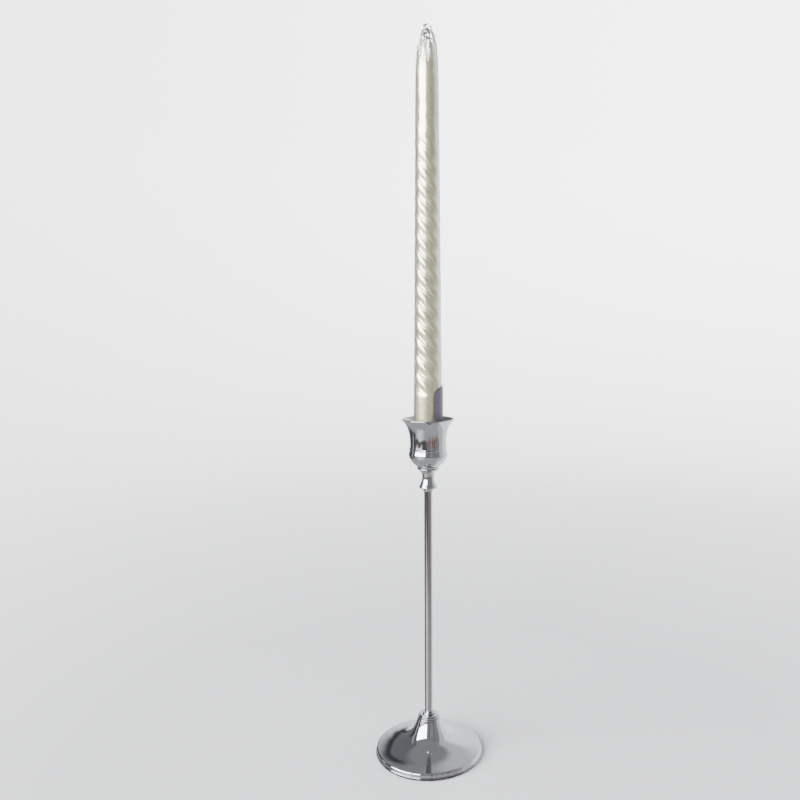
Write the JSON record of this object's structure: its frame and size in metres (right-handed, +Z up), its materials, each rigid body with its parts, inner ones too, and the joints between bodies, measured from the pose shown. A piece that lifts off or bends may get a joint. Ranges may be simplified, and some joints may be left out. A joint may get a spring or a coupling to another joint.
{
  "type": "taper candlestick",
  "caption": "Slim chromed taper candlestick with a trumpet foot, rod-clamped stem and flared cup, holding a twisted candle in clear film.",
  "frame": {"origin": "centre of the foot pad's underside, on the candlestick's axis, where it stands on the table", "axes": "+Z up along the stem and the candle; the blank label faces between +X and -Y"},
  "size_m": [0.09, 0.09, 0.5962],
  "materials": {
    "chrome_plate": "polished",
    "cup_metal": "polished",
    "zinc_steel": "satin",
    "raw_iron": "matte",
    "foam_pad": "matte",
    "pearl_wax": "satin",
    "cotton": "matte",
    "clear_film": "gloss",
    "label_paper": "satin"
  },
  "bodies": {
    "holder": {"base_pad": "foam_pad", "foot_shell": "chrome_plate", "weight_disc": "raw_iron", "foot_washer": "zinc_steel", "foot_lock_washer": "zinc_steel", "foot_nut": "zinc_steel", "foot_collar": "chrome_plate", "stem_tube": "chrome_plate", "tie_rod": "zinc_steel", "knop": "chrome_plate", "candle_cup": "cup_metal", "cup_washer": "zinc_steel", "cup_nut": "zinc_steel"},
    "candle": {"candle": "pearl_wax", "wick": "cotton"},
    "wrap": {"film_sleeve": "clear_film", "label": "label_paper"}
  },
  "joints": [
    {"name": "candle_lift", "type": "slide", "parent": "holder", "child": "candle", "axis": [0, 0, 1], "range_m": [0, 0.04]},
    {"name": "film_pull", "type": "slide", "parent": "candle", "child": "wrap", "axis": [0, 0, 1], "range_m": [0, 0.335]}
  ]
}
